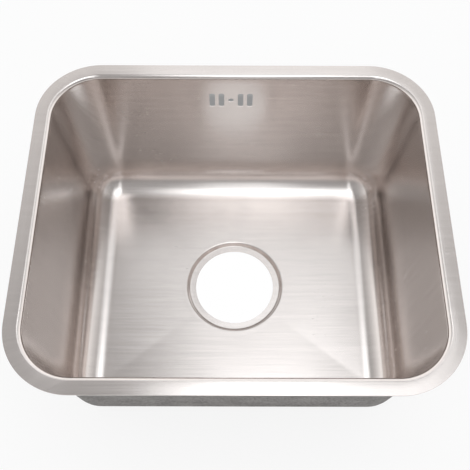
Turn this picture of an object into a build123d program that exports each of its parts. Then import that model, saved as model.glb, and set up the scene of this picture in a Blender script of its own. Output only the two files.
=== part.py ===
from build123d import *
import os
from math import atan2, cos, degrees, radians, sin, tan

# Undermount kitchen sink: one pressed sheet bowl with a flat hanging flange,
# sprayed and padded underneath, with swing-out fixing clips on its outside.
# +Z up, +Y to the overflow side at the back, +X to the right.
# The origin is the middle of the lowest plane, under the waste seat.

os.makedirs("parts", exist_ok=True)

# ---------------------------------------------------------------- bowl, mm
flange_width = 400.0        # outer edge to outer edge, left to right
flange_depth = 343.0        # outer edge to outer edge, front to back
flange_corner = 62.5        # radius of the flange's outer corners
flange_reach = 15.7         # outer edge to the inside of the bowl wall
sheet = 1.0                 # thickness of the pressed sheet
rim_bend = 4.5              # visible radius from the flange into the wall
wall_draft = 4.0            # degrees that each wall leans in
floor_drop = 183.5          # rim face down to the floor at the waste
floor_bend = 31.0           # inside radius from the walls into the floor
fall_height = 1.6           # how far the floor falls from the walls to the waste

# ------------------------------------------------------------ waste and overflow
recess_radius = 55.3        # top of the stepped recess round the waste
recess_drop = 3.5           # floor down to the seat of the recess
seat_radius = 52.0          # outer edge of the flat seat
waste_radius = 45.0         # waste hole, for a 90 mm basket waste
recess_lip_bend = 2.5       # inside radius from the floor into the recess
recess_border = 4.0         # level border round the recess, with the lip's bend in it
seat_bend = 1.0             # inside radius from the recess wall to the seat
overflow_drop = 35.0        # rim face down to the middle of the overflow
overflow_offset = -4.5      # middle of the bowl to the middle of the overflow
overflow_slot_width = 6.0
overflow_slot_height = 20.5
overflow_slot_corner = 2.1
overflow_first = 10.2       # middle of the overflow to the inner slots
overflow_pitch = 9.9        # inner slots to the outer slots
overflow_screw_radius = 3.0

# ------------------------------------------------------------ coat and pads
coat = 0.8                  # sprayed sound-deadening coat
coat_line = 62.0            # rim face down to the upper edge of the coat
coat_hole_gap = 6.0         # bare ring between the recess and the coat
pad_thickness = 2.0
pad_width = 54.0
pad_length = 168.0
pad_corner = 8.0

# ------------------------------------------------------------ fixing clips
clip_spacing = 190.0        # between the two clips on the front or the back
bracket_sheet = 1.5
bracket_height = 21.0       # length of the bracket's welded plate
bracket_bend = 1.0          # inside radius of the bracket's bend
bracket_corner = 3.0        # rounded free corner of the bracket's leg
arm_sheet = 2.0
arm_width = 11.0
arm_reach = 24.0            # pivot to the worktop screw's hole
arm_offset = 7.8            # outside of the bowl wall to the pivot
arm_crank = 0.9             # height that the arm's end is stepped up
arm_crank_start = 7.5       # pivot to the start of the step
arm_crank_run = 3.0         # length of the step
arm_hole_radius = 2.75      # hole for the worktop screw
arm_end_margin = 3.5        # hole to the arm's rounded end
stop_gap = 0.2              # arm's edge to the stop ear at full swing
rivet_radius = 2.5
rivet_head_radius = 4.4
rivet_head_height = 0.9
rivet_tail_radius = 3.8
rivet_tail_height = 1.2
rivet_chamfer = 0.5
head_gap = 0.4              # rivet head to the underside of the flange
pivot_clearance = 0.05      # running clearance of the arm on its rivet
rivet_seat_clearance = 0.02
arm_float = 0.1             # play above and below the arm

# ------------------------------------------------------------ earth tag
tag_position = 85.0         # middle of the left wall to the tag
tag_sheet = 0.8
tag_width = 12.0
tag_top = 22.0              # rim face down to the top of the tag
tag_weld_length = 14.0
tag_step = 3.0              # how far the tag's free end stands off the wall
tag_step_run = 4.0
tag_bend = 2.0              # radius of the tag's two bends
tag_free_length = 14.0
tag_corner = 3.0            # rounded corners of the free end
tag_hole_radius = 2.1

# ------------------------------------------------------------ worked-out places
flange_slab = 2 * sheet
draft_rate = tan(radians(wall_draft))
rim_z = floor_drop + recess_drop + sheet
floor_z = rim_z - floor_drop
seat_z = floor_z - recess_drop
level_floor_z = floor_z + fall_height
wall_x = flange_width / 2 - flange_reach
wall_y = flange_depth / 2 - flange_reach
wall_corner = flange_corner - flange_reach
foot_inset = (rim_z - level_floor_z) * draft_rate + floor_bend
foot_x = wall_x - foot_inset
foot_y = wall_y - foot_inset
foot_corner = wall_corner - foot_inset
border_radius = recess_radius + recess_border
outer_wall_x = wall_x + sheet / cos(radians(wall_draft))
outer_wall_y = wall_y + sheet / cos(radians(wall_draft))


def floor_fall(grow):
    """The floor's even fall from the straight foot of the walls to a circle round the recess,
    as a solid. It creases softly on the diagonals."""
    corner_start = degrees(atan2(foot_y - foot_corner, foot_x))
    corner_end = degrees(atan2(foot_y, foot_x - foot_corner))
    quarter = [corner_start, corner_end, 180 - corner_end, 180 - corner_start]
    turns = quarter + [turn + 180 for turn in quarter] + [corner_start + 360]
    with BuildPart() as form:
        with BuildSketch(Plane.XY.offset(level_floor_z - grow)):
            RectangleRounded(2 * foot_x, 2 * foot_y, foot_corner)
        with BuildSketch(Plane.XY.offset(floor_z - grow)):
            with BuildLine():
                for start, end in zip(turns, turns[1:]):
                    CenterArc((0, 0), border_radius, start, end - start)
            make_face()
        loft(ruled=True)
    return form.part


def recess_form(grow):
    """The stepped recess as a solid, turned about the waste axis."""
    with BuildPart() as form:
        with BuildSketch(Plane.XZ):
            with BuildLine():
                face_line = FilletPolyline(
                    (0, seat_z),
                    (seat_radius, seat_z),
                    (recess_radius, floor_z),
                    (border_radius, floor_z),
                    radius=[seat_bend, recess_lip_bend],
                    mode=Mode.PRIVATE,
                )
                if grow > 0:
                    face_line = offset(
                        face_line, amount=grow, side=Side.RIGHT, closed=False, mode=Mode.PRIVATE
                    )
                add(face_line)
                top = level_floor_z
                Polyline(face_line @ 1, (border_radius, top), (0, top), face_line @ 0)
            make_face()
        revolve(axis=Axis.Z)
    return form.part


def bowl_form(grow, recessed=True):
    """The space above the sink's top face as a solid: the bowl's hollow, open to
    a slab over the flange, all grown by a thickness."""
    side = grow / cos(radians(wall_draft))
    with BuildPart() as form:
        with BuildSketch(Plane(origin=(0, 0, rim_z), z_dir=(0, 0, -1))):
            RectangleRounded(2 * (wall_x + side), 2 * (wall_y + side), wall_corner + side)
        extrude(amount=rim_z - level_floor_z + grow, taper=wall_draft)
        # the walls turn into the floor round a large bend
        fillet(form.edges().group_by(Axis.Z)[0], radius=floor_bend + grow)
        # the walls turn out into the flange round a full bend
        with BuildSketch(Plane.XY.offset(rim_z - grow)):
            Rectangle(2 * flange_width, 2 * flange_depth)
        extrude(amount=grow + flange_slab)
        flange_face = form.faces().filter_by(Axis.Z).sort_by(Axis.Z)[-2]
        fillet(flange_face.inner_wires()[0].edges(), radius=rim_bend - grow)
        add(floor_fall(grow))
        if recessed:
            add(recess_form(grow))
    return form.part


# ---------------------------------------------------------------- bowl
hollow = bowl_form(0.0)
skin = bowl_form(sheet)
with BuildPart() as bowl:
    with BuildSketch(Plane.XY):
        RectangleRounded(flange_width, flange_depth, flange_corner)
    extrude(amount=rim_z)
    add(skin, mode=Mode.INTERSECT)
    add(hollow, mode=Mode.SUBTRACT)
    # waste hole in the middle of the seat
    with BuildSketch(Plane.XY):
        Circle(waste_radius)
    extrude(amount=floor_z, mode=Mode.SUBTRACT)
    # overflow, pierced square to the back wall
    overflow_plane = Plane(
        origin=(overflow_offset, wall_y - overflow_drop * draft_rate, rim_z - overflow_drop),
        x_dir=(1, 0, 0),
        z_dir=(0, cos(radians(wall_draft)), -sin(radians(wall_draft))),
    )
    with BuildSketch(overflow_plane):
        for side in (-1, 1):
            for step in range(2):
                with Locations((side * (overflow_first + step * overflow_pitch), 0)):
                    RectangleRounded(overflow_slot_width, overflow_slot_height, overflow_slot_corner)
        Circle(overflow_screw_radius)
    extrude(amount=2 * sheet, both=True, mode=Mode.SUBTRACT)
bowl.part.label = "bowl"
export_step(bowl.part, "parts/bowl.step")

# ---------------------------------------------------------------- undercoat
coat_skin = bowl_form(sheet + coat, recessed=False)
bare_radius = recess_radius + coat_hole_gap
with BuildPart() as undercoat:
    add(coat_skin)
    add(skin, mode=Mode.SUBTRACT)
    with BuildSketch(Plane.XY):
        Rectangle(flange_width, flange_depth)
        Circle(bare_radius, mode=Mode.SUBTRACT)
    extrude(amount=rim_z - coat_line, mode=Mode.INTERSECT)
undercoat.part.label = "undercoat"
export_step(undercoat.part, "parts/undercoat.step")

# ---------------------------------------------------------------- sound pads
pad_skin = bowl_form(sheet + coat + pad_thickness, recessed=False)
pad_middle = (bare_radius + foot_x) / 2
for side, side_name in ((-1, "left"), (1, "right")):
    with BuildPart() as pad:
        with BuildSketch(Plane.XY.offset(-sheet)):
            with Locations((side * pad_middle, 0)):
                RectangleRounded(pad_width, pad_length, pad_corner)
        extrude(amount=floor_z + floor_bend)
        add(pad_skin, mode=Mode.INTERSECT)
        add(coat_skin, mode=Mode.SUBTRACT)
    pad.part.label = "sound_pad_" + side_name
    export_step(pad.part, "parts/sound_pad_" + side_name + ".step")

# ---------------------------------------------------------------- fixing clips
# Each clip is the same three pieces: a bracket welded to the wall, an arm that
# swings out from under the flange, and the rivet that it turns on.
arm_top = -(sheet + head_gap + rivet_head_height + arm_float)
arm_bottom = arm_top - arm_sheet
leg_top = arm_bottom - arm_float
leg_bottom = leg_top - bracket_sheet
plate_bottom = leg_top - bracket_height
leg_reach = arm_offset + arm_width / 2
half_bracket = arm_width / 2 + stop_gap + bracket_sheet
half_spacing = clip_spacing / 2

clip_seats = {
    "back_left": ((-half_spacing, outer_wall_y), (1, 0)),
    "back_right": ((half_spacing, outer_wall_y), (1, 0)),
    "front_left": ((-half_spacing, -outer_wall_y), (-1, 0)),
    "front_right": ((half_spacing, -outer_wall_y), (-1, 0)),
    "left": ((-outer_wall_x, 0), (0, 1)),
    "right": ((outer_wall_x, 0), (0, -1)),
}

for seat_name, ((seat_x, seat_y), (along_x, along_y)) in clip_seats.items():
    # local x runs along the wall, y outwards from it and z up from the rim face
    seat = Plane(origin=(seat_x, seat_y, rim_z), x_dir=(along_x, along_y, 0), z_dir=(0, 0, 1))
    section = Plane(origin=seat.origin, x_dir=seat.y_dir, z_dir=seat.x_dir)
    pivot = seat.from_local_coords(Vector(0, arm_offset, 0))
    arm_section = Plane(origin=pivot, x_dir=seat.x_dir, z_dir=-seat.y_dir)

    with BuildPart() as bracket:
        with BuildSketch(section):
            with BuildLine():
                FilletPolyline(
                    (plate_bottom * draft_rate, plate_bottom),
                    (leg_top * draft_rate, leg_top),
                    (leg_reach, leg_top),
                    radius=bracket_bend + bracket_sheet,
                )
                offset(amount=bracket_sheet, side=Side.RIGHT)
            make_face()
        extrude(amount=half_bracket, both=True)
        # upturned ear that stops the arm square to the wall
        with BuildSketch(seat.offset(leg_top)):
            with Locations((-half_bracket + bracket_sheet / 2, (arm_offset + leg_reach) / 2)):
                Rectangle(bracket_sheet, leg_reach - arm_offset)
        extrude(amount=arm_top - leg_top)
        with BuildSketch(seat.offset(leg_bottom)):
            with Locations((0, arm_offset)):
                Circle(rivet_radius + rivet_seat_clearance)
        extrude(amount=bracket_sheet, mode=Mode.SUBTRACT)
        free_corner = bracket.edges().filter_by(Axis.Z).sort_by(Axis(pivot, seat.x_dir + seat.y_dir))[-1]
        fillet(free_corner, radius=bracket_corner)
    bracket.part.label = "clip_bracket_" + seat_name
    export_step(bracket.part, "parts/clip_bracket_" + seat_name + ".step")

    with BuildPart() as arm:
        crank_end = arm_crank_start + arm_crank_run
        tip = arm_reach + arm_hole_radius + arm_end_margin
        with BuildSketch(arm_section):
            with BuildLine():
                Polyline(
                    (-arm_width / 2, arm_bottom),
                    (arm_crank_start, arm_bottom),
                    (crank_end, arm_bottom + arm_crank),
                    (tip, arm_bottom + arm_crank),
                    (tip, arm_top + arm_crank),
                    (crank_end, arm_top + arm_crank),
                    (arm_crank_start, arm_top),
                    (-arm_width / 2, arm_top),
                    close=True,
                )
            make_face()
        extrude(amount=arm_width / 2, both=True)
        with BuildSketch(seat.offset(arm_bottom)):
            with Locations(((tip - arm_width / 2) / 2, arm_offset)):
                SlotOverall(tip + arm_width / 2, arm_width)
            with Locations((0, arm_offset)):
                Circle(rivet_radius + pivot_clearance, mode=Mode.SUBTRACT)
            with Locations((arm_reach, arm_offset)):
                Circle(arm_hole_radius, mode=Mode.SUBTRACT)
        extrude(amount=arm_sheet + arm_crank, mode=Mode.INTERSECT)
    arm.part.label = "clip_arm_" + seat_name
    export_step(arm.part, "parts/clip_arm_" + seat_name + ".step")

    with BuildPart() as rivet:
        with BuildSketch(seat.offset(leg_bottom - rivet_tail_height)):
            with Locations((0, arm_offset)):
                Circle(rivet_tail_radius)
        extrude(amount=rivet_tail_height)
        with BuildSketch(seat.offset(leg_bottom)):
            with Locations((0, arm_offset)):
                Circle(rivet_radius)
        extrude(amount=arm_top + arm_float - leg_bottom)
        with BuildSketch(seat.offset(arm_top + arm_float)):
            with Locations((0, arm_offset)):
                Circle(rivet_head_radius)
        extrude(amount=rivet_head_height)
        chamfer(rivet.edges().group_by(Axis.Z)[-1], length=rivet_chamfer)
        chamfer(rivet.edges().group_by(Axis.Z)[0], length=rivet_chamfer)
    rivet.part.label = "clip_rivet_" + seat_name
    export_step(rivet.part, "parts/clip_rivet_" + seat_name + ".step")

# ---------------------------------------------------------------- earth tag
tag_seat = Plane(origin=(-outer_wall_x, tag_position, rim_z), x_dir=(-1, 0, 0), z_dir=(0, 1, 0))
tag_weld_end = -tag_top - tag_weld_length
tag_step_end = tag_weld_end - tag_step_run
tag_end = tag_step_end - tag_free_length
with BuildPart() as earth_tag:
    with BuildSketch(tag_seat):
        with BuildLine():
            FilletPolyline(
                (-tag_top * draft_rate, -tag_top),
                (tag_weld_end * draft_rate, tag_weld_end),
                (tag_step_end * draft_rate + tag_step, tag_step_end),
                (tag_end * draft_rate + tag_step, tag_end),
                radius=tag_bend,
            )
            offset(amount=tag_sheet, side=Side.LEFT)
        make_face()
    extrude(amount=tag_width / 2, both=True)
    tag_hole_z = tag_end + tag_free_length / 2
    with BuildSketch(Plane.YZ.offset(-outer_wall_x)):
        with Locations((tag_position, rim_z + tag_hole_z)):
            Circle(tag_hole_radius)
    extrude(amount=-2 * (tag_step + tag_sheet), mode=Mode.SUBTRACT)
    cut_ends = earth_tag.edges().filter_by(lambda edge: abs(edge.length - tag_sheet) < tag_sheet / 100)
    fillet(cut_ends.sort_by(Axis.Z)[:2], radius=tag_corner)
earth_tag.part.label = "earth_tag"
export_step(earth_tag.part, "parts/earth_tag.step")
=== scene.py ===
"""Looks of an undermount kitchen sink: one pressed steel bowl with a flat hanging
flange, its sprayed and padded underside, and the clips that hold it to a worktop.
The frame is in metres: +Z up, +Y to the overflow side, the origin under the waste."""

import math

import bmesh
import bpy
from mathutils import Matrix, Vector


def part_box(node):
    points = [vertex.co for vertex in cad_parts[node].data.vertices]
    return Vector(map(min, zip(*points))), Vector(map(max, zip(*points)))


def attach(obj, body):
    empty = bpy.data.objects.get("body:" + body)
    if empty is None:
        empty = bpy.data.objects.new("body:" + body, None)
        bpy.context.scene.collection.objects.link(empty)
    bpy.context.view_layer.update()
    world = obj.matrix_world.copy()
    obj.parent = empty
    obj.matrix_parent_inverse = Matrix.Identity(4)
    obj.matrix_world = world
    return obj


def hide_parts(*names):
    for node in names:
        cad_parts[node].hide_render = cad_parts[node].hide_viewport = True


bl_info = {
    "name": "Undermount kitchen sink",
    "version": (1, 0, 0),
    "blender": (4, 5, 0),
    "location": "View3D > Sidebar > Sink",
    "description": "Builds the pressed bowl, its coating, clips and studio on the packed frame",
    "category": "Object",
}

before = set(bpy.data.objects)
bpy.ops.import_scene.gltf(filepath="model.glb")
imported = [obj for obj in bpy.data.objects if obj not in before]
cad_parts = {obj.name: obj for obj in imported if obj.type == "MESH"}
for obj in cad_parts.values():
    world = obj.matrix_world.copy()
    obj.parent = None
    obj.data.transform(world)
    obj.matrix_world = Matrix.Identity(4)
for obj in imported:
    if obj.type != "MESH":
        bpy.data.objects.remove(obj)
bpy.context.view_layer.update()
BOWL_LOW, BOWL_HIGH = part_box("bowl")
MM = 0.001
CLIP_SEATS = ("back_left", "back_right", "front_left", "front_right", "left", "right")
WALL_SIDES = {"back": (0.0, 1.0), "front": (0.0, -1.0), "left": (-1.0, 0.0), "right": (1.0, 0.0)}
GRAIN_MAP = "grain"
PROFILE_POINTS = ("Start", "First Turn", "Second Turn", "Foot")
RECESS_POINTS = ("Recess Start", "Recess Top", "Seat Edge", "Hole Edge")
BEND_STEPS = 9
CORNER_STEPS = 48
MERGE_GAP = 0.01 * MM


# ---------------------------------------------------------------- sizes and colours
def length(name, description, default, least=0.0):
    """A size that a user may change, kept in metres."""
    return bpy.props.FloatProperty(
        name=name, description=description, default=default, min=least, unit="LENGTH", precision=4
    )


def angle(name, description, degrees):
    """An angle that a user may change."""
    return bpy.props.FloatProperty(
        name=name, description=description, default=math.radians(degrees), subtype="ANGLE"
    )


def power(name, description, default):
    """The power of a lamp."""
    return bpy.props.FloatProperty(
        name=name, description=description, default=default, min=0.0, unit="POWER"
    )


def colour(name, description, default):
    """A finish's main colour."""
    return bpy.props.FloatVectorProperty(
        name=name, description=description, default=default, size=3, min=0.0, max=1.0, subtype="COLOR"
    )


class SinkBowlSizes(bpy.types.PropertyGroup):
    """Sizes of the pressed bowl."""

    width: length("Width", "Flange edge to flange edge, left to right", BOWL_HIGH.x - BOWL_LOW.x)
    depth: length("Depth", "Flange edge to flange edge, front to back", BOWL_HIGH.y - BOWL_LOW.y)
    rim_height: length("Rim height", "Lowest plane up to the flange's top face", BOWL_HIGH.z)
    corner: length("Corner", "Radius of the flange's outer corners", 62.5 * MM)
    reach: length("Flange reach", "Flange edge to the inside of the wall", 15.7 * MM)
    sheet: length("Sheet", "Thickness of the pressed sheet", 1.0 * MM)
    rim_bend: length("Rim bend", "Radius from the flange into the wall", 4.5 * MM)
    floor_bend: length("Floor bend", "Inside radius from the wall into the floor", 31.0 * MM)
    floor_drop: length("Floor drop", "Flange's top face to the floor at the waste", 183.5 * MM)
    fall: length("Fall", "Height that the floor falls to the waste", 1.6 * MM)
    recess: length("Recess", "Radius of the stepped recess round the waste", 55.3 * MM)
    recess_drop: length("Recess drop", "Floor down to the seat of the recess", 3.5 * MM)
    seat: length("Seat", "Outer radius of the flat seat", 52.0 * MM)
    waste: length("Waste", "Radius of the waste hole", 45.0 * MM)
    lip_bend: length("Lip bend", "Radius from the floor into the recess", 2.5 * MM)
    seat_bend: length("Seat bend", "Radius from the recess wall to the seat", 1.0 * MM)
    cut_edge: length("Cut edge", "Bevel on the edges of the sheet", 0.15 * MM)
    draft: angle("Draft", "Lean of each wall", 4.0)
    around: bpy.props.IntProperty(
        name="Steps around", description="Faces round the bowl", default=320, min=32, max=640
    )


class SinkOverflowSizes(bpy.types.PropertyGroup):
    """Sizes of the pierced overflow."""

    drop: length("Drop", "Flange's top face to the middle of the overflow", 35.0 * MM)
    offset: length("Offset", "Middle of the bowl to the middle of the overflow", -4.5 * MM, -0.1)
    slot_width: length("Slot width", "Width of each slot", 6.0 * MM)
    slot_height: length("Slot height", "Height of each slot", 20.5 * MM)
    slot_corner: length("Slot corner", "Radius of the slots' corners", 2.1 * MM)
    first: length("First slot", "Middle of the overflow to the inner slots", 10.2 * MM)
    pitch: length("Pitch", "Inner slots to the outer slots", 9.9 * MM)
    screw: length("Screw hole", "Radius of the hole for the overflow's screw", 3.0 * MM)


class SinkFittingSizes(bpy.types.PropertyGroup):
    """Sizes of the small steel fittings under the flange."""

    edge: length("Edge", "Rounding of the cut edges", 0.2 * MM)
    bracket_sheet: length("Bracket sheet", "Thickness of the brackets", 1.5 * MM)
    bracket_weld: length("Bracket weld", "Flange's top face to the brackets' weld spots", 16.5 * MM)
    bracket_spread: length("Bracket spread", "Middle of a bracket to its weld spots", 3.4 * MM)
    tag_sheet: length("Tag sheet", "Thickness of the earth tag", 0.8 * MM)
    tag_weld: length("Tag weld", "Flange's top face to the tag's upper weld spot", 26.0 * MM)
    tag_spread: length("Tag spread", "Between the tag's two weld spots", 6.0 * MM)
    spot: length("Spot", "Radius of a weld spot", 1.8 * MM)
    proud: length("Proud", "How far a weld spot stands up", 0.25 * MM)


class SinkFinishes(bpy.types.PropertyGroup):
    """Colours of the sink's finishes."""

    steel: colour("Steel", "Brushed stainless steel of the bowl", (0.7, 0.65, 0.625))
    coat: colour("Coat", "Sprayed deadening coat", (0.25, 0.238, 0.23))
    rubber: colour("Rubber", "Sound pads", (0.03, 0.03, 0.032))
    zinc: colour("Zinc", "Plated brackets and arms", (0.6, 0.62, 0.64))
    rivet: colour("Rivet", "Bright rivets", (0.68, 0.68, 0.68))
    tag: colour("Tag", "Plain steel of the earth tag and the weld spots", (0.56, 0.54, 0.52))


class SinkStage(bpy.types.PropertyGroup):
    """The studio round the sink."""

    lens: bpy.props.FloatProperty(
        name="Lens", description="Focal length in mm on a 36 mm frame", default=53.42, min=10.0
    )
    camera: bpy.props.FloatVectorProperty(
        name="Camera",
        description="Place of the camera",
        default=(-0.0012, -0.3048, 0.7612),
        size=3,
        subtype="TRANSLATION",
        unit="LENGTH",
    )
    pitch: angle("Pitch", "How far the camera looks down", 63.94)
    yaw: angle("Yaw", "How far the camera turns right", 0.25)
    roll: angle("Roll", "How far the camera leans", 0.40)
    sky: bpy.props.FloatProperty(
        name="Sky", description="Strength of the soft light all round", default=1.0, min=0.0
    )
    overhead: power("Overhead", "Power of the softbox overhead", 5.7)
    middle: power("Middle", "Power of the strip light in the middle", 1.7)
    behind: power("Behind", "Power of the softbox behind", 2.1)
    front: power("Front", "Power of the strip light in front", 2.0)


# ---------------------------------------------------------------- node helpers
class Graph:
    """Adds nodes to one node tree and wires each as it is added."""

    def __init__(self, tree):
        self.tree = tree

    def node(self, kind, wires=None, **settings):
        """One node, with its settings and its wires: an input's name to a value or to an output."""
        made = self.tree.nodes.new(kind)
        for name, value in settings.items():
            setattr(made, name, value)
        for name, value in (wires or {}).items():
            self.wire(made.inputs[name], value)
        return made

    def wire(self, socket, value):
        """Links an output to an input, or sets the input to a plain value."""
        if isinstance(value, bpy.types.NodeSocket):
            self.tree.links.new(value, socket)
        else:
            socket.default_value = value

    def join(self, *parts):
        """Several geometries as one."""
        joined = self.node("GeometryNodeJoinGeometry")
        for part in parts:
            self.tree.links.new(part, joined.inputs[0])
        return joined.outputs[0]

    def math(self, operation, *terms):
        """The result of one operation on numbers."""
        made = self.tree.nodes.new("ShaderNodeMath")
        made.operation = operation
        for socket, value in zip(made.inputs, terms):
            self.wire(socket, value)
        return made.outputs[0]

    def plus(self, value, *parts):
        """A value with others added to it, each given with its weight."""
        for part, weight in parts:
            value = self.math("ADD", value, self.math("MULTIPLY", part, weight))
        return value

    def vector(self, operation, *terms):
        """The result of one operation on vectors."""
        made = self.tree.nodes.new("ShaderNodeVectorMath")
        made.operation = operation
        sockets = [made.inputs[0], made.inputs["Scale"]] if operation == "SCALE" else made.inputs
        for socket, value in zip(sockets, terms):
            self.wire(socket, value)
        return made.outputs["Value" if operation in ("LENGTH", "DOT_PRODUCT") else "Vector"]

    def point(self, x, y, z):
        """A vector from three numbers."""
        return self.node("ShaderNodeCombineXYZ", {"X": x, "Y": y, "Z": z}).outputs[0]

    def split(self, value):
        """The three numbers of a vector."""
        return self.node("ShaderNodeSeparateXYZ", {"Vector": value}).outputs

    def range(self, value, low, high, to_low, to_high):
        """A value carried from one range to another, and held at its ends."""
        wires = {"Value": value, "From Min": low, "From Max": high, "To Min": to_low, "To Max": to_high}
        return self.node("ShaderNodeMapRange", wires).outputs["Result"]

    def noise(self, vector, scale, detail, roughness=0.5):
        """Cloudy noise round 0.5."""
        wires = {"Vector": vector, "Scale": scale, "Detail": detail, "Roughness": roughness}
        return self.node("ShaderNodeTexNoise", wires).outputs["Fac"]


def new_group(name, kind, inputs, outputs):
    """A node group with named sockets, and the Graph, input node and output node to fill it with."""
    tree = bpy.data.node_groups.new(name, kind)
    for socket_name, socket_kind, value in inputs:
        kind_name = "NodeSocket" + socket_kind
        socket = tree.interface.new_socket(name=socket_name, in_out="INPUT", socket_type=kind_name)
        if value is not None:
            socket.default_value = value
    for socket_name, socket_kind in outputs:
        kind_name = "NodeSocket" + socket_kind
        tree.interface.new_socket(name=socket_name, in_out="OUTPUT", socket_type=kind_name)
    graph = Graph(tree)
    return graph, graph.node("NodeGroupInput").outputs, graph.node("NodeGroupOutput").inputs


def evaluated_mesh(piece):
    """The mesh that a piece's modifiers make; it is an error if they make nothing."""
    evaluated = piece.evaluated_get(bpy.context.evaluated_depsgraph_get())
    result = bpy.data.meshes.new_from_object(evaluated)
    if not result.polygons:
        raise RuntimeError(piece.name + " came out empty")
    return result


def made_by(tree, name, settings, seeds=()):
    """A plain mesh object from a Geometry Nodes tree, with the tree's inputs set by name.
    seeds are (place, facing) pairs for a tree that puts something on points."""
    mesh = bpy.data.meshes.new(name + "_seed")
    mesh.from_pydata([place for place, facing in seeds], [], [])
    facings = mesh.attributes.new("facing", "FLOAT_VECTOR", "POINT")
    for number, (place, facing) in enumerate(seeds):
        facings.data[number].vector = facing
    maker = bpy.data.objects.new(name + "_maker", mesh)
    bpy.context.collection.objects.link(maker)
    modifier = maker.modifiers.new("Shape", "NODES")
    modifier.node_group = tree
    for item in tree.interface.items_tree:
        if item.item_type == "SOCKET" and item.in_out == "INPUT" and item.name in settings:
            modifier[item.identifier] = settings[item.name]
    result = evaluated_mesh(maker)
    result.name = name
    maker.modifiers.remove(modifier)
    bpy.data.objects.remove(maker)
    bpy.data.meshes.remove(mesh)
    piece = bpy.data.objects.new(name, result)
    bpy.context.collection.objects.link(piece)
    return piece


def apply_modifiers(piece):
    """Turns the piece's modifiers into its plain mesh."""
    result = evaluated_mesh(piece)
    piece.modifiers.clear()
    old = piece.data
    piece.data = result
    result.name = piece.name
    bpy.data.meshes.remove(old)


# ---------------------------------------------------------------- shared effects
def shared(build):
    """Builds a node group at its first use and finds it by its name later on."""

    def effect():
        return bpy.data.node_groups.get(build.__name__) or build()

    return effect


@shared
def brushed_grain():
    """Fine streaks along the brushing, as a grey tint round 0.5 and a height."""
    graph, given, out = new_group(
        "brushed_grain",
        "ShaderNodeTree",
        [("Vector", "Vector", None), ("Along", "Float", 8.0), ("Across", "Float", 700.0)],
        [("Tint", "Float"), ("Height", "Float")],
    )
    stretch = graph.point(given["Along"], given["Across"], given["Across"])
    fine = graph.noise(graph.vector("MULTIPLY", given["Vector"], stretch), 1.0, 2.0, 0.6)
    broad_stretch = graph.vector("SCALE", stretch, 0.16)
    broad = graph.noise(graph.vector("MULTIPLY", given["Vector"], broad_stretch), 1.0, 2.0)
    graph.wire(out["Tint"], graph.plus(graph.math("MULTIPLY", fine, 0.7), (broad, 0.3)))
    graph.wire(out["Height"], fine)
    return graph.tree


@shared
def handling_marks():
    """Soft smudges and thin short scratches, as two masks."""
    graph, given, out = new_group(
        "handling_marks",
        "ShaderNodeTree",
        [("Vector", "Vector", None), ("Smudge Size", "Float", 14.0), ("Scratch Size", "Float", 120.0)],
        [("Smudges", "Float"), ("Scratches", "Float")],
    )
    cloud = graph.noise(given["Vector"], given["Smudge Size"], 3.0, 0.55)
    graph.wire(out["Smudges"], graph.range(cloud, 0.42, 0.7, 0.0, 1.0))
    thin = graph.math("MULTIPLY", given["Scratch Size"], 7.0)
    stretch = graph.point(given["Scratch Size"], thin, thin)
    dashes = graph.noise(graph.vector("MULTIPLY", given["Vector"], stretch), 1.0, 1.0)
    dash = graph.range(dashes, 0.7, 0.76, 0.0, 1.0)
    few = graph.range(graph.noise(given["Vector"], given["Smudge Size"], 2.0), 0.55, 0.65, 0.0, 1.0)
    graph.wire(out["Scratches"], graph.math("MULTIPLY", dash, few))
    return graph.tree


@shared
def speckle():
    """Pebbled grains, as a mask of the grains and a height."""
    graph, given, out = new_group(
        "speckle",
        "ShaderNodeTree",
        [("Vector", "Vector", None), ("Grain", "Float", 450.0), ("Blotch", "Float", 60.0)],
        [("Grains", "Float"), ("Height", "Float")],
    )
    fine = graph.noise(given["Vector"], given["Grain"], 3.0, 0.7)
    blotch = graph.noise(given["Vector"], given["Blotch"], 4.0, 0.6)
    wires = {"Vector": given["Vector"], "Scale": graph.math("MULTIPLY", given["Grain"], 0.8)}
    cells = graph.node("ShaderNodeTexVoronoi", wires, feature="SMOOTH_F1").outputs["Distance"]
    grains = graph.plus(graph.math("MULTIPLY", fine, 0.7), (blotch, 0.3))
    graph.wire(out["Grains"], graph.range(grains, 0.35, 0.65, 0.0, 1.0))
    graph.wire(out["Height"], graph.plus(fine, (cells, -0.6)))
    return graph.tree


def use_group(graph, tree, wires):
    """Places a shared effect in a material with its own values."""
    return graph.node("ShaderNodeGroup", wires, node_tree=tree).outputs


# ---------------------------------------------------------------- materials
def new_material(name, base):
    """A material with one Principled shader; also gives its Graph."""
    material = bpy.data.materials.new(name)
    material.use_nodes = True
    material.diffuse_color = (*base, 1.0)
    graph = Graph(material.node_tree)
    shader = material.node_tree.nodes["Principled BSDF"]
    shader.inputs["Base Color"].default_value = (*base, 1.0)
    return material, graph, shader


def shades(graph, factor, dark, light):
    """A colour between two, by a factor."""
    mix = graph.node("ShaderNodeMixRGB")
    graph.wire(mix.inputs["Fac"], factor)
    for name, value in (("Color1", dark), ("Color2", light)):
        graph.wire(mix.inputs[name], value if isinstance(value, bpy.types.NodeSocket) else (*value, 1.0))
    return mix.outputs[0]


def scaled(base, factor):
    """A colour made darker or lighter."""
    return tuple(min(1.0, part * factor) for part in base)


def bump(graph, height, distance, strength=1.0):
    """A normal that follows a height."""
    wires = {"Height": height, "Distance": distance, "Strength": strength}
    return graph.node("ShaderNodeBump", wires).outputs[0]


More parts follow.
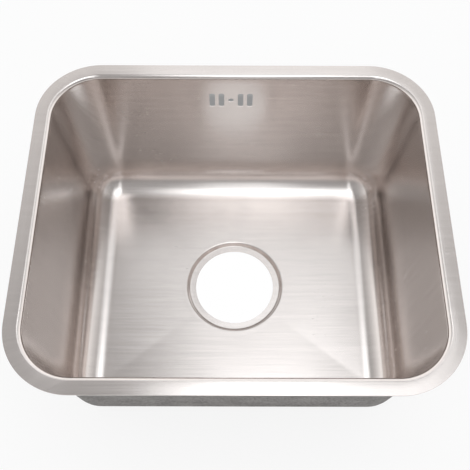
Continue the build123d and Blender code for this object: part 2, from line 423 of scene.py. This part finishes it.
def brushed_steel(base):
    """Stainless steel of the bowl, brushed along the blank's width, with smudges and scratches."""
    material, graph, shader = new_material("brushed_stainless", base)
    shader.inputs["Metallic"].default_value = 1.0
    shader.inputs["Anisotropic"].default_value = 0.68
    shader.inputs["Anisotropic Rotation"].default_value = 0.25
    flow = graph.node("ShaderNodeUVMap", uv_map=GRAIN_MAP).outputs[0]
    grain = use_group(graph, brushed_grain(), {"Vector": flow, "Along": 14.0, "Across": 1100.0})
    marks = use_group(graph, handling_marks(), {"Vector": flow})
    tint = graph.plus(grain["Tint"], (marks["Smudges"], -0.12), (marks["Scratches"], -0.7))
    graph.wire(shader.inputs["Base Color"], shades(graph, tint, scaled(base, 0.88), scaled(base, 1.12)))
    rough = graph.range(grain["Tint"], 0.3, 0.7, 0.19, 0.25)
    rough = graph.plus(rough, (marks["Smudges"], 0.03), (marks["Scratches"], 0.12))
    graph.wire(shader.inputs["Roughness"], rough)
    graph.wire(shader.inputs["Normal"], bump(graph, grain["Height"], 0.01 * MM, 0.25))
    tangent = graph.node("ShaderNodeTangent", direction_type="UV_MAP", uv_map=GRAIN_MAP)
    graph.wire(shader.inputs["Tangent"], tangent.outputs[0])
    return material


def sprayed_coat(base):
    """Sprayed deadening coat: matt grey with a pebbled speckle."""
    material, graph, shader = new_material("sprayed_coat", base)
    place = graph.node("ShaderNodeTexCoord").outputs["Object"]
    grit = use_group(graph, speckle(), {"Vector": place, "Grain": 420.0, "Blotch": 45.0})
    mottled = shades(graph, grit["Grains"], scaled(base, 0.6), scaled(base, 1.55))
    graph.wire(shader.inputs["Base Color"], mottled)
    graph.wire(shader.inputs["Roughness"], graph.range(grit["Grains"], 0.0, 1.0, 0.9, 0.72))
    graph.wire(shader.inputs["Normal"], bump(graph, grit["Height"], 0.6 * MM))
    shader.inputs["Specular IOR Level"].default_value = 0.35
    return material


def pad_rubber(base):
    """Black rubber of the sound pads, faintly pebbled and dusty."""
    material, graph, shader = new_material("pad_rubber", base)
    place = graph.node("ShaderNodeTexCoord").outputs["Object"]
    grit = use_group(graph, speckle(), {"Vector": place, "Grain": 900.0, "Blotch": 25.0})
    marks = use_group(graph, handling_marks(), {"Vector": place, "Smudge Size": 22.0})
    dust = graph.math("MULTIPLY", marks["Smudges"], 0.35)
    plain = shades(graph, grit["Grains"], scaled(base, 0.7), scaled(base, 1.3))
    graph.wire(shader.inputs["Base Color"], shades(graph, dust, plain, (0.16, 0.155, 0.15)))
    graph.wire(shader.inputs["Roughness"], graph.range(marks["Smudges"], 0.0, 1.0, 0.58, 0.75))
    graph.wire(shader.inputs["Normal"], bump(graph, grit["Height"], 0.2 * MM, 0.5))
    return material


def plated_steel(name, base, rough):
    """Plated or bright steel of a small fitting, with grain from side to side and dulled patches."""
    material, graph, shader = new_material(name, base)
    shader.inputs["Metallic"].default_value = 1.0
    place = graph.node("ShaderNodeTexCoord").outputs["Object"]
    grain = use_group(graph, brushed_grain(), {"Vector": place, "Along": 60.0, "Across": 1500.0})
    marks = use_group(graph, handling_marks(), {"Vector": place, "Smudge Size": 90.0, "Scratch Size": 260.0})
    tint = graph.plus(grain["Tint"], (marks["Smudges"], -0.35))
    graph.wire(shader.inputs["Base Color"], shades(graph, tint, scaled(base, 0.62), scaled(base, 1.2)))
    dulled = graph.range(grain["Tint"], 0.3, 0.7, rough - 0.05, rough + 0.06)
    graph.wire(shader.inputs["Roughness"], graph.plus(dulled, (marks["Smudges"], 0.16)))
    graph.wire(shader.inputs["Normal"], bump(graph, grain["Height"], 0.03 * MM, 0.5))
    return material


def give(piece, material):
    """Puts one material on a piece or a carried-over CAD node."""
    piece.data.materials.clear()
    piece.data.materials.append(material)
    return piece


# ---------------------------------------------------------------- the pressed forms' rule
def read_point(graph, geometry, value, index):
    """A vector read from a line's point by its number."""
    wires = {"Geometry": geometry, "Value": value, "Index": index}
    return graph.node("GeometryNodeSampleIndex", wires, data_type="FLOAT_VECTOR").outputs[0]


def named_vector(graph, name):
    """A vector that the mesh carries under a name."""
    wires = {"Name": name}
    return graph.node("GeometryNodeInputNamedAttribute", wires, data_type="FLOAT_VECTOR").outputs[0]


def bent_line(graph, points, bends, step):
    """A line through four points, rounded at the two inner ones and cut into short steps."""
    wires = {f"Point {number}": point for number, point in enumerate(points, 1)}
    line = graph.node("GeometryNodeCurvePrimitiveQuadrilateral", wires, mode="POINTS").outputs[0]
    line = graph.node("GeometryNodeSetSplineCyclic", {"Geometry": line, "Cyclic": False}).outputs[0]
    index = graph.node("GeometryNodeInputIndex").outputs[0]
    first = graph.math("MULTIPLY", graph.math("COMPARE", index, 1.0, 0.1), bends[0])
    second = graph.math("MULTIPLY", graph.math("COMPARE", index, 2.0, 0.1), bends[1])
    wires = {"Curve": line, "Radius": graph.math("ADD", first, second), "Count": BEND_STEPS}
    line = graph.node("GeometryNodeFilletCurve", wires, mode="POLY").outputs[0]
    here = graph.node("GeometryNodeInputPosition").outputs[0]
    wires = {"Index": graph.math("ADD", index, 1.0), "Value": here}
    following = graph.node("GeometryNodeFieldAtIndex", wires, data_type="FLOAT_VECTOR").outputs[0]
    gap = graph.vector("LENGTH", graph.vector("SUBTRACT", following, here))
    cuts = graph.math("FLOOR", graph.math("DIVIDE", gap, step))
    return graph.node("GeometryNodeSubdivideCurve", {"Curve": line, "Cuts": cuts}).outputs[0]


def finished_group(graph, geometry, given, out):
    """Ends a tree: its instances are made real and get the material."""
    real = graph.node("GeometryNodeRealizeInstances", {"Geometry": geometry}).outputs[0]
    wires = {"Geometry": real, "Material": given["Material"]}
    graph.wire(out["Geometry"], graph.node("GeometryNodeSetMaterial", wires).outputs[0])
    return graph.tree


def pressed_form():
    """A sheet form swept round a rounded rectangle. Its profile is a bent line of insets and
    heights; from the foot, the floor runs evenly to a round recess, which is turned about the
    waste. Rows and columns run on from part to part. The map for the grain is the flat blank,
    brushed along its width before it was pressed: it unrolls the walls outwards from their foot."""
    inputs = [("Width", "Float", 0.4), ("Depth", "Float", 0.34), ("Corner", "Float", 0.06)]
    inputs += [(name, "Vector", None) for name in PROFILE_POINTS + RECESS_POINTS]
    inputs += [(name, "Float", 0.004) for name in ("First Bend", "Second Bend", "Lip Bend", "Seat Bend")]
    inputs += [("Steps Around", "Int", 320), ("Row Step", "Float", 0.006), ("Floor Rows", "Int", 26)]
    inputs += [("Crease Softness", "Int", 16), ("Material", "Material", None)]
    graph, given, out = new_group("pressed_form", "GeometryNodeTree", inputs, [("Geometry", "Geometry")])
    steps, step = given["Steps Around"], given["Row Step"]

    wires = {"Width": given["Width"], "Height": given["Depth"]}
    outline = graph.node("GeometryNodeCurvePrimitiveQuadrilateral", wires, mode="RECTANGLE").outputs[0]
    wires = {"Curve": outline, "Radius": given["Corner"], "Count": CORNER_STEPS}
    outline = graph.node("GeometryNodeFilletCurve", wires, mode="POLY").outputs[0]
    wires = {"Curve": outline, "Count": steps}
    outline = graph.node("GeometryNodeResampleCurve", wires, mode="COUNT").outputs[0]
    bends = (given["First Bend"], given["Second Bend"])
    profile = bent_line(graph, [given[name] for name in PROFILE_POINTS], bends, step)
    bends = (given["Lip Bend"], given["Seat Bend"])
    recess = bent_line(graph, [given[name] for name in RECESS_POINTS], bends, step)

    here = graph.node("GeometryNodeInputPosition").outputs[0]
    along = graph.node("GeometryNodeInputTangent").outputs[0]
    gone = graph.point(graph.node("GeometryNodeSplineParameter").outputs["Length"], 0.0, 0.0)
    profile_length = graph.node("GeometryNodeCurveLength", {"Curve": profile}).outputs[0]
    foot_inset, foot_height, _ = graph.split(given["Foot"])
    recess_radius, recess_height, _ = graph.split(given["Recess Start"])

    def rows_of(line):
        """How many points a line has."""
        size = graph.node("GeometryNodeAttributeDomainSize", {"Geometry": line}, component="CURVE")
        return size.outputs["Point Count"]

    def sheet(rows, place):
        """A grid with a column for each step of the outline. place turns the outline's point,
        the way inwards and the row into a position and its place on the flat blank."""
        columns = graph.math("ADD", steps, 1.0)
        wires = {"Size X": 1.0, "Size Y": 1.0, "Vertices X": columns, "Vertices Y": rows}
        grid = graph.node("GeometryNodeMeshGrid", wires).outputs["Mesh"]
        index = graph.node("GeometryNodeInputIndex").outputs[0]
        column = graph.math("FLOOR", graph.math("DIVIDE", graph.math("ADD", index, 0.5), rows))
        row = graph.math("SUBTRACT", index, graph.math("MULTIPLY", column, rows))
        wrapped = graph.math("MODULO", column, steps)
        edge = read_point(graph, outline, here, wrapped)
        side = graph.vector("CROSS_PRODUCT", read_point(graph, outline, along, wrapped), (0.0, 0.0, 1.0))
        outside = graph.math("SIGN", graph.vector("DOT_PRODUCT", side, edge))
        turned = graph.math("MULTIPLY", outside, -1.0)
        inward = graph.vector("SCALE", graph.vector("NORMALIZE", side), turned)
        position, blank = place(edge, inward, row)
        laid = graph.node("GeometryNodeSetPosition", {"Geometry": grid, "Position": position}).outputs[0]
        wires = {"Geometry": laid, "Name": "flow", "Value": blank}
        kept = graph.node("GeometryNodeStoreNamedAttribute", wires, data_type="FLOAT_VECTOR").outputs[0]
        wires = {"Geometry": kept, "Name": GRAIN_MAP, "Value": named_vector(graph, "flow")}
        mapped = graph.node("GeometryNodeStoreNamedAttribute", wires, data_type="FLOAT2", domain="CORNER")
        wires = {"Geometry": mapped.outputs[0], "Name": "flow"}
        return graph.node("GeometryNodeRemoveAttribute", wires).outputs[0]

    def foot_point(edge, inward):
        """The place on the floor's edge that belongs to a point of the outline."""
        return graph.vector("ADD", edge, graph.vector("SCALE", inward, foot_inset))

    def wall_rule(edge, inward, row):
        """From the flange's edge down to the foot, along the profile."""
        inset, height, _ = graph.split(read_point(graph, profile, here, row))
        x, y, _ = graph.split(graph.vector("ADD", edge, graph.vector("SCALE", inward, inset)))
        down = graph.split(read_point(graph, profile, gone, row))[0]
        unrolled = graph.vector("SCALE", inward, graph.math("SUBTRACT", down, profile_length))
        return graph.point(x, y, height), graph.vector("ADD", foot_point(edge, inward), unrolled)

    def floor_rule(edge, inward, row):
        """From the foot evenly down to the border of the recess."""
        share = graph.math("DIVIDE", row, graph.math("SUBTRACT", given["Floor Rows"], 1.0))
        start = foot_point(edge, inward)
        border = graph.vector("SCALE", graph.vector("NORMALIZE", start), recess_radius)
        run = graph.vector("SUBTRACT", border, start)
        x, y, _ = graph.split(graph.vector("ADD", start, graph.vector("SCALE", run, share)))
        height = graph.range(share, 0.0, 1.0, foot_height, recess_height)
        return graph.point(x, y, height), graph.point(x, y, 0.0)

    def recess_rule(edge, inward, row):
        """From the border of the recess to the edge of the waste hole."""
        radius, height, _ = graph.split(read_point(graph, recess, here, row))
        start = foot_point(edge, inward)
        x, y, _ = graph.split(graph.vector("SCALE", graph.vector("NORMALIZE", start), radius))
        return graph.point(x, y, height), graph.point(x, y, 0.0)

    def on_the_floor(x, y, height):
        """1 between the foot of the walls and the recess, and 0 elsewhere."""
        below_foot = graph.math("LESS_THAN", height, graph.math("SUBTRACT", foot_height, 0.02 * MM))
        radius = graph.vector("LENGTH", graph.point(x, y, 0.0))
        past_recess = graph.math("GREATER_THAN", radius, graph.math("ADD", recess_radius, 0.2 * MM))
        return graph.math("MULTIPLY", below_foot, past_recess)

    joined = graph.join(
        sheet(rows_of(profile), wall_rule),
        sheet(given["Floor Rows"], floor_rule),
        sheet(rows_of(recess), recess_rule),
    )
    wires = {"Geometry": joined, "Distance": MERGE_GAP}
    welded = graph.node("GeometryNodeMergeByDistance", wires).outputs[0]
    x, y, height = graph.split(here)
    floor = on_the_floor(x, y, height)
    wires = {"Value": height, "Iterations": given["Crease Softness"], "Weight": floor}
    softened = graph.node("GeometryNodeBlurAttribute", wires, data_type="FLOAT").outputs[0]
    wires = {"Geometry": welded, "Position": graph.point(x, y, softened)}
    welded = graph.node("GeometryNodeSetPosition", wires).outputs[0]
    wires = {"Geometry": welded, "Shade Smooth": True}
    smooth = graph.node("GeometryNodeSetShadeSmooth", wires).outputs[0]
    return finished_group(graph, smooth, given, out)


def overflow_piercing():
    """Solids that pierce the overflow: two slots each side of a round screw hole."""
    names = ("Slot Width", "Slot Height", "Slot Corner", "First", "Pitch", "Screw", "Through", "Lean")
    inputs = [(name, "Float", 0.01) for name in names]
    inputs += [("Place", "Vector", None), ("Material", "Material", None)]
    graph, given, out = new_group("overflow_piercing", "GeometryNodeTree", inputs, [("Geometry", "Geometry")])
    wires = {"Width": given["Slot Width"], "Height": given["Slot Height"]}
    outline = graph.node("GeometryNodeCurvePrimitiveQuadrilateral", wires, mode="RECTANGLE").outputs[0]
    wires = {"Curve": outline, "Radius": given["Slot Corner"], "Count": 8}
    outline = graph.node("GeometryNodeFilletCurve", wires, mode="POLY").outputs[0]
    face = graph.node("GeometryNodeFillCurve", {"Curve": outline}).outputs[0]
    below = graph.point(0.0, 0.0, graph.math("MULTIPLY", given["Through"], -0.5))
    low = graph.node("GeometryNodeTransform", {"Geometry": face, "Translation": below}).outputs[0]
    wires = {"Mesh": low, "Offset": graph.point(0.0, 0.0, given["Through"]), "Individual": False}
    raised = graph.node("GeometryNodeExtrudeMesh", wires).outputs["Mesh"]
    turned = graph.node("GeometryNodeFlipFaces", {"Mesh": low}).outputs[0]
    wires = {"Geometry": graph.join(raised, turned), "Distance": MERGE_GAP}
    slot = graph.node("GeometryNodeMergeByDistance", wires).outputs[0]
    pairs = []
    for way in (-1.0, 1.0):
        start = graph.point(graph.math("MULTIPLY", given["First"], way), 0.0, 0.0)
        offset = graph.point(graph.math("MULTIPLY", given["Pitch"], way), 0.0, 0.0)
        wires = {"Count": 2, "Start Location": start, "Offset": offset}
        pairs.append(graph.node("GeometryNodeMeshLine", wires, mode="OFFSET").outputs[0])
    wires = {"Points": graph.join(*pairs), "Instance": slot}
    slots = graph.node("GeometryNodeInstanceOnPoints", wires).outputs[0]
    wires = {"Vertices": 32, "Radius": given["Screw"], "Depth": given["Through"]}
    screw = graph.node("GeometryNodeMeshCylinder", wires).outputs["Mesh"]
    tip = graph.math("MULTIPLY", graph.math("ADD", given["Lean"], math.pi / 2), -1.0)
    turn = graph.point(tip, 0.0, 0.0)
    wires = {"Geometry": graph.join(slots, screw)}
    real = graph.node("GeometryNodeRealizeInstances", wires).outputs[0]
    wires = {"Geometry": real, "Translation": given["Place"], "Rotation": turn}
    placed = graph.node("GeometryNodeTransform", wires).outputs[0]
    return finished_group(graph, placed, given, out)


def weld_spots():
    """Low round weld spots, one on each seed point, turned to face the way that the seed does."""
    inputs = [("Geometry", "Geometry", None), ("Radius", "Float", 0.002), ("Proud", "Float", 0.0003)]
    inputs += [("Material", "Material", None)]
    graph, given, out = new_group("weld_spots", "GeometryNodeTree", inputs, [("Geometry", "Geometry")])
    wires = {"Segments": 20, "Rings": 10, "Radius": 1.0}
    ball = graph.node("GeometryNodeMeshUVSphere", wires).outputs["Mesh"]
    x, y, z = graph.split(graph.node("GeometryNodeInputPosition").outputs[0])
    spread = graph.vector("LENGTH", graph.point(x, y, 0.0))
    ring = graph.range(spread, 0.0, 0.7, 0.35, 1.0)
    wide, deep = (graph.math("MULTIPLY", part, given["Radius"]) for part in (x, y))
    high = graph.math("MULTIPLY", graph.math("MULTIPLY", z, ring), given["Proud"])
    shape = graph.point(wide, deep, high)
    spot = graph.node("GeometryNodeSetPosition", {"Geometry": ball, "Position": shape}).outputs[0]
    wires = {"Geometry": spot, "Shade Smooth": True}
    spot = graph.node("GeometryNodeSetShadeSmooth", wires).outputs[0]
    wires = {"Vector": named_vector(graph, "facing")}
    turn = graph.node("FunctionNodeAlignRotationToVector", wires, axis="Z").outputs[0]
    wires = {"Points": given["Geometry"], "Instance": spot, "Rotation": turn}
    spots = graph.node("GeometryNodeInstanceOnPoints", wires).outputs[0]
    return finished_group(graph, spots, given, out)


# ---------------------------------------------------------------- making the pieces
def bowl_points(sizes):
    """The profile's and the recess's points of the bowl's top face, as (inset or radius, height)."""
    floor = sizes.rim_height - sizes.floor_drop
    level = floor + sizes.fall
    wall_foot = sizes.reach + (sizes.rim_height - level) * math.tan(sizes.draft)
    profile = [
        (0.0, sizes.rim_height),
        (sizes.reach, sizes.rim_height),
        (wall_foot, level),
        (wall_foot + sizes.floor_bend, level),
    ]
    seat_height = floor - sizes.recess_drop
    level_border = 1.6 * sizes.lip_bend
    recess = [
        (sizes.recess + level_border, floor),
        (sizes.recess, floor),
        (sizes.seat, seat_height),
        (sizes.waste, seat_height),
    ]
    return profile, recess


def named_points(names, points):
    """Points in the plane of a profile, under the names of a tree's inputs."""
    return {name: (inset, height, 0.0) for name, (inset, height) in zip(names, points)}


def sharpen(piece, degrees):
    """Shades a piece smooth, apart from its edges over an angle."""
    piece.data.set_sharp_from_angle(angle=math.radians(degrees))


def dressed(node, body, material, edge):
    """A copy of a small CAD fitting with its cut edges rounded, in the fitting's place."""
    piece = bpy.data.objects.new(node + "_finished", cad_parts[node].data.copy())
    bpy.context.collection.objects.link(piece)
    shape = bmesh.new()
    shape.from_mesh(piece.data)
    bmesh.ops.remove_doubles(shape, verts=shape.verts, dist=0.002 * MM)
    bmesh.ops.dissolve_limit(shape, angle_limit=math.radians(0.5), verts=shape.verts, edges=shape.edges)
    shape.to_mesh(piece.data)
    shape.free()
    rounding = piece.modifiers.new("Cut edges", "BEVEL")
    rounding.width, rounding.segments = edge, 2
    rounding.limit_method, rounding.angle_limit = "ANGLE", math.radians(40)
    rounding.harden_normals = True
    apply_modifiers(piece)
    give(piece, material)
    sharpen(piece, 35)
    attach(piece, body)
    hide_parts(node)
    return piece


def wall_point(sizes, node, seat, along, drop, standoff):
    """A place just outside the bowl's wall beside a fitting, and the way that the wall faces there."""
    outward = Vector((*WALL_SIDES[seat.split("_")[0]], 0.0))
    across = Vector((-outward.y, outward.x, 0.0))
    low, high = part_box(node)
    middle = across.dot((low + high) / 2)
    half = abs(outward.x) * sizes.width / 2 + abs(outward.y) * sizes.depth / 2
    lean = sizes.draft
    skin = half - sizes.reach - drop * math.tan(lean) + (sizes.sheet + standoff) / math.cos(lean)
    place = outward * skin + across * (middle + along)
    place.z = sizes.rim_height - drop
    return place, outward * math.cos(lean) - Vector((0.0, 0.0, math.sin(lean)))


class SINK_OT_bowl(bpy.types.Operator):
    """Press the bowl from its profile, give it its thickness and pierce the overflow"""

    bl_idname = "sink.bowl"
    bl_label = "Pressed bowl"

    def execute(self, context):
        sizes, holes = context.scene.sink_bowl, context.scene.sink_overflow
        steel = brushed_steel(context.scene.sink_finishes.steel)
        profile, recess = bowl_points(sizes)
        settings = {
            "Width": sizes.width,
            "Depth": sizes.depth,
            "Corner": sizes.corner,
            "First Bend": sizes.rim_bend,
            "Second Bend": sizes.floor_bend,
            "Lip Bend": sizes.lip_bend,
            "Seat Bend": sizes.seat_bend,
            "Steps Around": sizes.around,
            "Material": steel,
            **named_points(PROFILE_POINTS, profile),
            **named_points(RECESS_POINTS, recess),
        }
        bowl = made_by(pressed_form(), "sink_bowl", settings)
        sheet = bowl.modifiers.new("Sheet", "SOLIDIFY")
        sheet.thickness, sheet.offset, sheet.use_even_offset = sizes.sheet, -1.0, True
        edge = bowl.modifiers.new("Cut edge", "BEVEL")
        edge.width, edge.segments = sizes.cut_edge, 1
        edge.limit_method, edge.angle_limit = "ANGLE", math.radians(60)
        apply_modifiers(bowl)
        lean = sizes.draft
        wall = sizes.depth / 2 - sizes.reach - holes.drop * math.tan(lean)
        place = (holes.offset, wall, sizes.rim_height - holes.drop)
        settings = {
            "Slot Width": holes.slot_width,
            "Slot Height": holes.slot_height,
            "Slot Corner": holes.slot_corner,
            "First": holes.first,
            "Pitch": holes.pitch,
            "Screw": holes.screw,
            "Through": 8 * sizes.sheet,
            "Lean": lean,
            "Place": place,
            "Material": steel,
        }
        punch = made_by(overflow_piercing(), "overflow_punch", settings)
        cut = bowl.modifiers.new("Overflow", "BOOLEAN")
        cut.operation, cut.solver, cut.object = "DIFFERENCE", "EXACT", punch
        apply_modifiers(bowl)
        bpy.data.objects.remove(punch)
        give(bowl, steel)
        sharpen(bowl, 32)
        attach(bowl, "basin")
        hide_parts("bowl")
        return {"FINISHED"}


class SINK_OT_coating(bpy.types.Operator):
    """Give the deadening coat under the bowl its sprayed finish and the sound pads their rubber"""

    bl_idname = "sink.coating"
    bl_label = "Coat and pads"

    def execute(self, context):
        finishes = context.scene.sink_finishes
        give(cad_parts["undercoat"], sprayed_coat(finishes.coat))
        rubber = pad_rubber(finishes.rubber)
        for side in ("left", "right"):
            give(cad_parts["sound_pad_" + side], rubber)
        return {"FINISHED"}


class SINK_OT_clips(bpy.types.Operator):
    """Finish the clips' brackets, arms and rivets"""

    bl_idname = "sink.clips"
    bl_label = "Fixing clips"

    def execute(self, context):
        finishes = context.scene.sink_finishes
        edge = context.scene.sink_fittings.edge
        zinc = plated_steel("zinc_plate", finishes.zinc, 0.32)
        bright = plated_steel("bright_rivet", finishes.rivet, 0.22)
        for seat in CLIP_SEATS:
            dressed("clip_bracket_" + seat, "basin", zinc, edge)
            dressed("clip_arm_" + seat, "clip_" + seat, zinc, edge)
            dressed("clip_rivet_" + seat, "basin", bright, edge)
        return {"FINISHED"}


class SINK_OT_tag_and_welds(bpy.types.Operator):
    """Finish the earth tag and put the weld spots on it and on the brackets"""

    bl_idname = "sink.tag_and_welds"
    bl_label = "Earth tag and weld spots"

    def execute(self, context):
        sizes, fittings = context.scene.sink_bowl, context.scene.sink_fittings
        plain = plated_steel("plain_steel", context.scene.sink_finishes.tag, 0.36)
        dressed("earth_tag", "basin", plain, fittings.edge)
        drop, standoff = fittings.bracket_weld, fittings.bracket_sheet
        seeds = []
        for seat in CLIP_SEATS:
            for along in (-fittings.bracket_spread, fittings.bracket_spread):
                seeds.append(wall_point(sizes, "clip_bracket_" + seat, seat, along, drop, standoff))
        for drop in (fittings.tag_weld, fittings.tag_weld + fittings.tag_spread):
            seeds.append(wall_point(sizes, "earth_tag", "left", 0.0, drop, fittings.tag_sheet))
        settings = {"Radius": fittings.spot, "Proud": fittings.proud, "Material": plain}
        spots = made_by(weld_spots(), "weld_spots", settings, seeds)
        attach(spots, "basin")
        return {"FINISHED"}


class SINK_OT_stage(bpy.types.Operator):
    """Set the pale floor, the soft light and the camera"""

    bl_idname = "sink.stage"
    bl_label = "Studio"

    def execute(self, context):
        stage = context.scene.sink_stage
        pale_floor()
        soft_sky(stage.sky)
        softbox("overhead_softbox", (0.25, -0.08, 2.2), (1.1, 1.05), stage.overhead)
        softbox("middle_strip", (0.13, 0.1, 2.19), (0.5, 1.3), stage.middle)
        softbox("rear_softbox", (0.13, 1.38, 2.2), (1.1, 1.0), stage.behind)
        softbox("front_strip", (0.06, -1.4, 2.2), (0.42, 1.6), stage.front)
        aim_camera(context.scene, stage)
        return {"FINISHED"}


def past(graph, value, start, fade):
    """How far a value has gone past a start, as a share of the length over which it fades."""
    return graph.math("DIVIDE", graph.math("MAXIMUM", graph.math("SUBTRACT", value, start), 0.0), fade)


def floor_shade(graph, place):
    """1 on the open floor, and less in a soft painted shade under the sink and behind it. The main view
    sees that painted shade only through the overflow, whose slots are grey in the photograph."""
    x, y, _ = graph.split(place)
    aside = past(graph, graph.math("ABSOLUTE", x), 0.06, 0.12)
    behind = past(graph, y, 0.15, 0.165)
    before = past(graph, graph.math("MULTIPLY", y, -1.0), 0.02, 0.1)
    from_shade = graph.vector("LENGTH", graph.point(aside, behind, before))
    return graph.range(from_shade, 0.75, 1.08, 0.21, 1.0)


def pale_floor():
    """A wide white floor just under the sink, which keeps the sink's shadow and a painted shade under
    and behind it, apart from a painted bright patch under the waste hole, where it glows full white in the
    bowl's shadow."""
    half, under = 20.0, BOWL_LOW.z - 0.5 * MM
    corners = [(x, y, under) for x, y in ((-half, -half), (half, -half), (half, half), (-half, half))]
    mesh = bpy.data.meshes.new("floor")
    mesh.from_pydata(corners, [], [(0, 1, 2, 3)])
    floor = bpy.data.objects.new("floor", mesh)
    bpy.context.collection.objects.link(floor)
    material, graph, shader = new_material("pale_floor", (0.9, 0.9, 0.9))
    shader.inputs["Roughness"].default_value = 0.9
    shader.inputs["Specular IOR Level"].default_value = 0.1
    seen = graph.node("ShaderNodeLightPath").outputs
    reflected = graph.math("MAXIMUM", seen["Is Glossy Ray"], seen["Is Transmission Ray"])
    shown = graph.math("MAXIMUM", seen["Is Camera Ray"], reflected)
    place = graph.node("ShaderNodeTexCoord").outputs["Object"]
    # Painted light: under the waste hole the floor glows full white, though the bowl shades it there.
    clear = graph.range(graph.vector("LENGTH", place), 0.055, 0.07, 1.0, 0.0)
    share = graph.range(clear, 0.0, 1.0, 0.86, 1.0)
    # The glow's strength carries the painted shade round the sink and the painted bright patch under the
    # waste.
    bright = graph.math("MAXIMUM", floor_shade(graph, place), clear)
    wires = {"Color": (1.0, 1.0, 1.0, 1.0), "Strength": bright}
    glow = graph.node("ShaderNodeEmission", wires).outputs[0]
    mix = graph.node("ShaderNodeMixShader", {"Fac": graph.math("MULTIPLY", shown, share)})
    graph.tree.links.new(shader.outputs[0], mix.inputs[1])
    graph.tree.links.new(glow, mix.inputs[2])
    graph.tree.links.new(mix.outputs[0], graph.tree.nodes["Material Output"].inputs["Surface"])
    give(floor, material)


def soft_sky(strength):
    """Soft light from all round: a pale horizon, brighter at the back, and a dimmer ceiling. The
    camera sees it plain white."""
    world = bpy.data.worlds.new("soft_sky")
    bpy.context.scene.world = world
    world.use_nodes = True
    graph = Graph(world.node_tree)
    x, y, z = graph.split(graph.node("ShaderNodeTexCoord").outputs["Generated"])
    walls = graph.math("MINIMUM", graph.plus(1.1, (y, 1.0), (x, -0.15)), 1.5)
    horizon = graph.math("MINIMUM", graph.plus(1.3, (y, 0.45)), 1.35)
    low = graph.range(z, 0.25, 0.45, horizon, walls)
    level = graph.range(z, 0.45, 0.95, low, 0.42)
    shown = graph.node("ShaderNodeLightPath").outputs["Is Camera Ray"]
    level = graph.range(shown, 0.0, 1.0, level, 1.0)
    background = world.node_tree.nodes["Background"]
    background.inputs["Color"].default_value = (1.0, 1.0, 1.0, 1.0)
    graph.wire(background.inputs["Strength"], graph.math("MULTIPLY", level, strength))


def softbox(name, place, size, power):
    """A softbox that hangs flat over the sink, with a slightly cool light."""
    lamp = bpy.data.lights.new(name, "AREA")
    lamp.shape, lamp.size, lamp.size_y, lamp.energy = "RECTANGLE", *size, power
    lamp.color = (0.96, 1.0, 1.03)
    box = bpy.data.objects.new(name, lamp)
    bpy.context.collection.objects.link(box)
    box.location = place


def aim_camera(scene, stage):
    """The camera at the photograph's angle."""
    lean, turn, roll = stage.pitch, stage.yaw, stage.roll
    ahead = Vector((math.sin(turn) * math.cos(lean), math.cos(turn) * math.cos(lean), -math.sin(lean)))
    right = Vector((math.cos(turn), -math.sin(turn), 0.0))
    up = right.cross(ahead)
    cos_roll, sin_roll = math.cos(roll), math.sin(roll)
    right, up = cos_roll * right + sin_roll * up, cos_roll * up - sin_roll * right
    data = bpy.data.cameras.new("camera")
    data.lens, data.sensor_width = stage.lens, 36.0
    camera = bpy.data.objects.new("camera", data)
    bpy.context.collection.objects.link(camera)
    axes = Matrix((right, up, -ahead)).transposed().to_4x4()
    camera.matrix_world = Matrix.Translation(stage.camera) @ axes
    scene.camera = camera
    scene.view_settings.view_transform = "Standard"


# ---------------------------------------------------------------- the add-on's parts
class SINK_PT_sidebar(bpy.types.Panel):
    """Sizes, finishes and steps of the sink."""

    bl_idname = "SINK_PT_sidebar"
    bl_label = "Kitchen sink"
    bl_space_type = "VIEW_3D"
    bl_region_type = "UI"
    bl_category = "Sink"

    def draw(self, context):
        """A box of settings for each group, then a button for each step."""
        layout = self.layout
        for group in SETTINGS:
            settings = getattr(context.scene, group)
            box = layout.box()
            for name in settings.bl_rna.properties.keys():
                if name not in ("rna_type", "name"):
                    box.prop(settings, name)
        for operator in OPERATORS:
            layout.operator(operator.bl_idname)


SETTINGS = {
    "sink_bowl": SinkBowlSizes,
    "sink_overflow": SinkOverflowSizes,
    "sink_fittings": SinkFittingSizes,
    "sink_finishes": SinkFinishes,
    "sink_stage": SinkStage,
}
OPERATORS = (SINK_OT_bowl, SINK_OT_coating, SINK_OT_clips, SINK_OT_tag_and_welds, SINK_OT_stage)
CLASSES = (*SETTINGS.values(), *OPERATORS, SINK_PT_sidebar)


def register():
    """Adds the sink's settings, operators and panel to Blender."""
    for item in CLASSES:
        bpy.utils.register_class(item)
    for name, group in SETTINGS.items():
        setattr(bpy.types.Scene, name, bpy.props.PointerProperty(type=group))


def unregister():
    """Takes them out again."""
    for name in SETTINGS:
        delattr(bpy.types.Scene, name)
    for item in reversed(CLASSES):
        bpy.utils.unregister_class(item)


def main():
    """Builds the sink and its studio."""
    register()
    bpy.ops.sink.bowl()
    bpy.ops.sink.coating()
    bpy.ops.sink.clips()
    bpy.ops.sink.tag_and_welds()
    bpy.ops.sink.stage()


if __name__ == "__main__":
    main()
